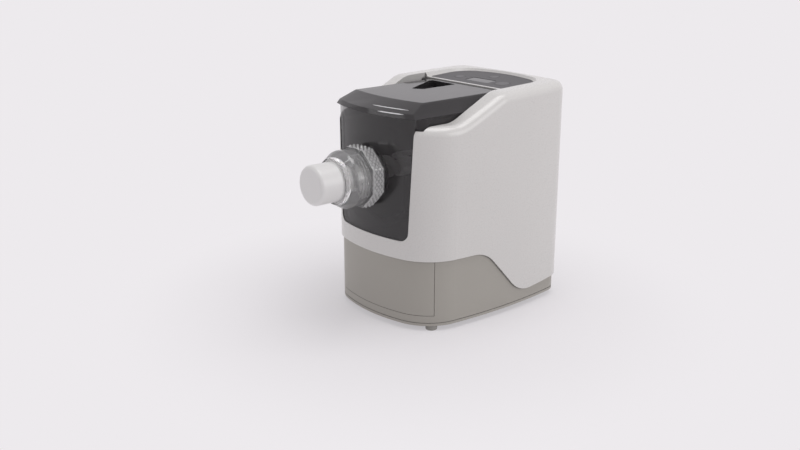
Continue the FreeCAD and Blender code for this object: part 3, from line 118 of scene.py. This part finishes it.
def surface(name, colour, roughness, vary=0.04, vary_scale=9.0, bump=0.03, alpha=1.0, metallic=0.0, coat=0.0,
            specular=0.5, rough_vary=0.05, stretch=None, shade_reach=0.0, shade_floor=0.22, transmission=0.0):
    material, tree, shader = new_material(name)
    coords = tree.nodes.new("ShaderNodeTexCoord")
    place = coords.outputs["Object"]
    if stretch:
        mapping = tree.nodes.new("ShaderNodeMapping")
        mapping.inputs["Scale"].default_value = stretch
        tree.links.new(place, mapping.inputs["Vector"])
        place = mapping.outputs["Vector"]
    broad = tree.nodes.new("ShaderNodeTexNoise")
    broad.inputs["Scale"].default_value = vary_scale
    broad.inputs["Detail"].default_value = TINT_DETAIL
    tree.links.new(place, broad.inputs["Vector"])
    tint = tree.nodes.new("ShaderNodeValToRGB")
    tint.color_ramp.elements[0].position = TINT_LOW
    tint.color_ramp.elements[1].position = TINT_HIGH
    low = [channel * (1 - vary) for channel in colour]
    high = [min(1.0, channel * (1 + vary)) for channel in colour]
    tint.color_ramp.elements[0].color = (*low, 1)
    tint.color_ramp.elements[1].color = (*high, 1)
    tree.links.new(broad.outputs["Fac"], tint.inputs["Fac"])
    shade = tint.outputs["Color"]
    # Painted shade: the colour darkens where the surface is closed in
    if shade_reach:
        shade = paint_crevice_shade(tree, shade, shade_reach, shade_floor)
    tree.links.new(shade, shader.inputs["Base Color"])
    fine = tree.nodes.new("ShaderNodeTexNoise")
    fine.inputs["Scale"].default_value = GRAIN_SCALE
    fine.inputs["Detail"].default_value = GRAIN_DETAIL
    tree.links.new(place, fine.inputs["Vector"])
    rough = tree.nodes.new("ShaderNodeMapRange")
    rough.inputs["To Min"].default_value = max(LEAST_ROUGHNESS, roughness - rough_vary)
    rough.inputs["To Max"].default_value = roughness + rough_vary
    tree.links.new(fine.outputs["Fac"], rough.inputs["Value"])
    tree.links.new(rough.outputs["Result"], shader.inputs["Roughness"])
    if bump:
        height = tree.nodes.new("ShaderNodeBump")
        height.inputs["Strength"].default_value = bump
        height.inputs["Distance"].default_value = GRAIN_DEPTH
        tree.links.new(fine.outputs["Fac"], height.inputs["Height"])
        tree.links.new(height.outputs["Normal"], shader.inputs["Normal"])
    shader.inputs["Metallic"].default_value = metallic
    shader.inputs["Coat Weight"].default_value = coat
    shader.inputs["Specular IOR Level"].default_value = specular
    shader.inputs["Alpha"].default_value = alpha
    shader.inputs["Transmission Weight"].default_value = transmission
    return material


MATERIALS = {
    # Shells, panel and small rubber parts; the shells and panel carry painted shade in their seams and
    # creases
    "shell_white": surface("shell_white", (0.665, 0.65, 0.635), 0.28, vary=0.01, bump=0.02, coat=0.25,
                           shade_reach=4 * MM),
    "housing_grey": surface("housing_grey", (0.385, 0.365, 0.33), 0.42, vary=0.02, bump=0.08,
                            shade_reach=5 * MM),
    "panel_grey": surface("panel_grey", (0.105, 0.102, 0.107), 0.55, vary=0.02, bump=0.05, specular=0.25,
                          shade_reach=2 * MM),
    "button_grey": surface("button_grey", (0.105, 0.102, 0.107), 0.45, vary=0.02, bump=0.04, specular=0.35),
    "lens_dark": surface("lens_dark", (0.03, 0.03, 0.035), 0.08, vary=0.02, bump=0.0),
    "foot_rubber": surface("foot_rubber", (0.30, 0.29, 0.27), 0.7, vary=0.05, bump=0.2),
    "seal_rubber": surface("seal_rubber", (0.42, 0.41, 0.40), 0.6, vary=0.03, bump=0.1),
    # Tinted and clear plastics, and the pale paint of the glints on the lid's lip
    "smoke_tint": surface("smoke_tint", (0.05, 0.046, 0.048), 0.06, vary=0.03, bump=0.0, alpha=0.44,
                          rough_vary=0.02, coat=0.6),
    "bowl_tint": surface("bowl_tint", (0.11, 0.103, 0.107), 0.08, vary=0.03, bump=0.0, alpha=0.24,
                         rough_vary=0.02),
    "lid_tint": surface("lid_tint", (0.048, 0.045, 0.047), 0.06, vary=0.03, bump=0.0, alpha=0.82,
                        rough_vary=0.02, specular=0.36),
    "clear_plastic": surface("clear_plastic", (0.93, 0.93, 0.93), 0.05, vary=0.02, bump=0.0,
                             rough_vary=0.02, transmission=0.9),
    # Painted highlight: a pale opaque colour standing in for the glints along the lid's lip
    "lip_glint_paint": surface("lip_glint_paint", (0.80, 0.80, 0.81), 0.08, vary=0.02, bump=0.0, rough_vary=0.02,
                         coat=0.5),
    # Painted shade: the grooves between the knurl's diamonds darken almost to black
    "knurl_clear": surface("knurl_clear", (0.5, 0.5, 0.5), 0.1, vary=0.02, bump=0.0, rough_vary=0.02,
                           coat=1.0, transmission=0.2, shade_reach=3 * MM, shade_floor=0.0308),
    # Moulded plastics
    "die_white": surface("die_white", (0.75, 0.74, 0.735), 0.3, vary=0.01),
    "drawer_plastic": surface("drawer_plastic", (0.60, 0.59, 0.57), 0.45, vary=0.02, bump=0.1),
    "frame_plastic": surface("frame_plastic", (0.07, 0.07, 0.072), 0.5, vary=0.05, bump=0.15),
    "mixer_plastic": surface("mixer_plastic", (0.72, 0.71, 0.70), 0.35, vary=0.02, bump=0.05),
    "gear_nylon": surface("gear_nylon", (0.72, 0.69, 0.60), 0.5, vary=0.02, bump=0.05),
    # Metals and boards
    "shaft_steel": surface("shaft_steel", (0.60, 0.60, 0.60), 0.22, metallic=1.0, bump=0.04,
                           stretch=(1, 0.05, 1)),
    "motor_steel": surface("motor_steel", (0.42, 0.43, 0.45), 0.35, metallic=0.9, vary=0.06, bump=0.06),
    "core_steel": surface("core_steel", (0.28, 0.27, 0.27), 0.45, metallic=0.9, bump=0.2,
                          stretch=(1, 40, 1)),
    "bearing_bronze": surface("bearing_bronze", (0.55, 0.36, 0.16), 0.4, metallic=1.0, bump=0.1),
    "screw_steel": surface("screw_steel", (0.55, 0.55, 0.57), 0.3, metallic=1.0, bump=0.05),
    "bracket_steel": surface("bracket_steel", (0.20, 0.205, 0.21), 0.45, metallic=0.4, vary=0.05, bump=0.1),
    "board_green": surface("board_green", (0.02, 0.12, 0.05), 0.35, vary=0.1, vary_scale=60.0, bump=0.1),
}
# Nodes whose tint differs from that of their slot
FINISHES = {"mixing_chamber": "bowl_tint", "lid": "lid_tint"}
for part in frame["record"]["subparts"]:
    mesh = nodes[part["node"]].data
    mesh.materials.clear()
    mesh.materials.append(MATERIALS[FINISHES.get(part["node"], part["material_slot"])])


# Details
def add_piece(name, mesh, body, finish, smooth=True):
    piece = bpy.data.objects.new(name, mesh)
    scene.collection.objects.link(piece)
    mesh.materials.append(MATERIALS[finish])
    for face in mesh.polygons:
        face.use_smooth = smooth
    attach(piece, body)


def surface_of(node):
    mesh = nodes[node].data
    return BVHTree.FromPolygons([v.co for v in mesh.vertices], [list(f.vertices) for f in mesh.polygons])


# A closed mesh through rings of points: the last ring joins the first, or both ends are filled
def ring_mesh(name, rings, joined):
    mesh = bpy.data.meshes.new(name)
    width = len(rings[0])
    faces = []
    for ring in range(len(rings) if joined else len(rings) - 1):
        here = ring * width
        there = (ring + 1) % len(rings) * width
        for column in range(width):
            after = (column + 1) % width
            faces.append((here + column, here + after, there + after, there + column))
    mesh.from_pydata([point for ring in rings for point in ring], [], faces)
    build = bmesh.new()
    build.from_mesh(mesh)
    bmesh.ops.holes_fill(build, edges=[edge for edge in build.edges if edge.is_boundary])
    bmesh.ops.recalc_face_normals(build, faces=build.faces)
    build.to_mesh(mesh)
    build.free()
    return mesh


# Diamond knurl on the grip of the ring nut
KNURL_HEIGHT = 1.9 * MM
KNURL_COUNT = 32
KNURL_ROWS = 3
KNURL_INSET = 0.9 * MM
KNURL_ROOT = 0.15 * MM
KNURL_STEPS = 8
KNURL_RAMP_STEPS = 3
GRIP_LENGTH = 19.0 * MM
PROBE_START = 0.1


def make_knurl():
    low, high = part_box("ring_nut")
    centre_z = (low[2] + high[2]) / 2
    rear = high[1] - KNURL_INSET
    front = high[1] - GRIP_LENGTH + KNURL_INSET
    tree = surface_of("ring_nut")
    around = KNURL_COUNT * KNURL_STEPS
    along = KNURL_ROWS * KNURL_STEPS
    rings = []
    for step in range(along + 1):
        share = step / along
        y = front + (rear - front) * share
        ring = []
        for turn in range(around):
            angle = 2 * math.pi * turn / around
            out = Vector((math.cos(angle), 0, math.sin(angle)))
            hit = tree.ray_cast(Vector((0, y, centre_z)) + out * PROBE_START, -out)[0]
            radius = math.hypot(hit.x, hit.z - centre_z)
            across = turn / KNURL_STEPS
            rising = abs((across + share * KNURL_ROWS) % 1 - 0.5) * 2
            falling = abs((across - share * KNURL_ROWS) % 1 - 0.5) * 2
            ramp = min(1.0, share * along / KNURL_RAMP_STEPS, (1 - share) * along / KNURL_RAMP_STEPS)
            height = KNURL_ROOT + ramp * KNURL_HEIGHT * min(rising, falling)
            if step in (0, along):
                height = -KNURL_ROOT
            ring.append(Vector((0, y, centre_z)) + out * (radius + height))
        rings.append(ring)
    mesh = ring_mesh("nut_knurl", rings, joined=True)
    add_piece("nut_knurl", mesh, "nut", "knurl_clear", smooth=False)


make_knurl()


# Ribs along the front lip of the lid, in a pale opaque colour that paints the lip's glints
LIP_RIB_RADIUS = 0.7 * MM
LIP_RIB_REACH = 60.0 * MM
LIP_RIB_STEPS = 48
LIP_RIB_SIDES = 12
LIP_RIB_TAPER = 6
LIP_RIB_TIP = 0.15


# The height is a share of the lid's; the ends are shares of the reach
def make_lip_rib(name, height, first, last):
    low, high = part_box("lid")
    z = low[2] + (high[2] - low[2]) * height
    tree = surface_of("lid")
    rings = []
    for step in range(LIP_RIB_STEPS + 1):
        place = step / LIP_RIB_STEPS
        x = (first + (last - first) * place) * LIP_RIB_REACH
        hit, normal, _, _ = tree.ray_cast(Vector((x, -1.0, z)), Vector((0, 1, 0)))
        taper = min(1.0, place * LIP_RIB_TAPER, (1 - place) * LIP_RIB_TAPER)
        radius = LIP_RIB_RADIUS * (LIP_RIB_TIP + (1 - LIP_RIB_TIP) * taper)
        side = normal.cross(Vector((1, 0, 0))).normalized()
        ring = []
        for turn in range(LIP_RIB_SIDES):
            angle = 2 * math.pi * turn / LIP_RIB_SIDES
            ring.append(hit + normal * radius * math.cos(angle) + side * radius * math.sin(angle))
        rings.append(ring)
    add_piece(name, ring_mesh(name, rings, joined=False), "lid", "lip_glint_paint")


make_lip_rib("lid_glint_rib_upper", 0.55, 0.05, 1.0)
make_lip_rib("lid_glint_rib_lower", 0.30, 0.35, 1.0)


# Stage: floor, surroundings and lamps
BACKGROUND = (0.847, 0.823, 0.847)
FLOOR_COLOUR = (0.80, 0.78, 0.80)
FLOOR_REACH = 8.0
FADE_START = 0.12
FADE_END = 0.42
FADE_LEAST = 0.5
WORLD_LIGHT = 0.4
LAMP_AIM = Vector((0, 0, 0.15))


def make_stage():
    floor_mesh = bpy.data.meshes.new("floor")
    corners = [(x * FLOOR_REACH, y * FLOOR_REACH, 0) for x, y in ((-1, -1), (1, -1), (1, 1), (-1, 1))]
    floor_mesh.from_pydata(corners, [], [(0, 1, 2, 3)])
    floor = bpy.data.objects.new("floor", floor_mesh)
    scene.collection.objects.link(floor)
    material, tree, shader = new_material("floor_pale")
    shader.inputs["Base Color"].default_value = (*FLOOR_COLOUR, 1)
    shader.inputs["Roughness"].default_value = 0.7
    shader.inputs["Specular IOR Level"].default_value = 0.1
    far = tree.nodes.new("ShaderNodeEmission")
    far.inputs["Color"].default_value = (*BACKGROUND, 1)
    coords = tree.nodes.new("ShaderNodeTexCoord")
    distance = tree.nodes.new("ShaderNodeVectorMath")
    distance.operation = "LENGTH"
    fade = tree.nodes.new("ShaderNodeMapRange")
    fade.interpolation_type = "SMOOTHSTEP"
    fade.inputs["From Min"].default_value = FADE_START
    fade.inputs["From Max"].default_value = FADE_END
    fade.inputs["To Min"].default_value = FADE_LEAST
    mix = tree.nodes.new("ShaderNodeMixShader")
    tree.links.new(coords.outputs["Object"], distance.inputs[0])
    tree.links.new(distance.outputs["Value"], fade.inputs["Value"])
    tree.links.new(fade.outputs["Result"], mix.inputs["Fac"])
    tree.links.new(shader.outputs["BSDF"], mix.inputs[1])
    tree.links.new(far.outputs["Emission"], mix.inputs[2])
    tree.links.new(mix.outputs["Shader"], tree.nodes["Material Output"].inputs["Surface"])
    floor_mesh.materials.append(material)


def make_world():
    world = bpy.data.worlds.new("surroundings")
    scene.world = world
    world.use_nodes = True
    tree = world.node_tree
    back = tree.nodes["Background"]
    back.inputs["Color"].default_value = (*BACKGROUND, 1)
    back.inputs["Strength"].default_value = WORLD_LIGHT
    seen = tree.nodes.new("ShaderNodeBackground")
    seen.inputs["Color"].default_value = (*BACKGROUND, 1)
    seen.inputs["Strength"].default_value = 1.0
    rays = tree.nodes.new("ShaderNodeLightPath")
    glossy = tree.nodes.new("ShaderNodeMath")
    glossy.operation = "MAXIMUM"
    clear = tree.nodes.new("ShaderNodeMath")
    clear.operation = "MAXIMUM"
    mix = tree.nodes.new("ShaderNodeMixShader")
    tree.links.new(rays.outputs["Is Camera Ray"], glossy.inputs[0])
    tree.links.new(rays.outputs["Is Glossy Ray"], glossy.inputs[1])
    tree.links.new(glossy.outputs[0], clear.inputs[0])
    tree.links.new(rays.outputs["Is Transmission Ray"], clear.inputs[1])
    tree.links.new(clear.outputs[0], mix.inputs["Fac"])
    tree.links.new(back.outputs["Background"], mix.inputs[1])
    tree.links.new(seen.outputs["Background"], mix.inputs[2])
    tree.links.new(mix.outputs["Shader"], tree.nodes["World Output"].inputs["Surface"])


def make_lamp(name, place, size, power):
    data = bpy.data.lights.new(name, "AREA")
    data.shape = "RECTANGLE"
    data.size = size
    data.size_y = size
    data.energy = power
    lamp = bpy.data.objects.new(name, data)
    scene.collection.objects.link(lamp)
    lamp.location = place
    lamp.rotation_euler = (LAMP_AIM - Vector(place)).to_track_quat("-Z", "Y").to_euler()


make_stage()
make_world()
make_lamp("top", (0.3, 0.2, 2.3), size=1.5, power=25.0)
make_lamp("right", (2.2, 0.8, 0.9), size=1.3, power=12.0)
make_lamp("front_left", (-1.2, -2.0, 1.0), size=1.3, power=6.5)
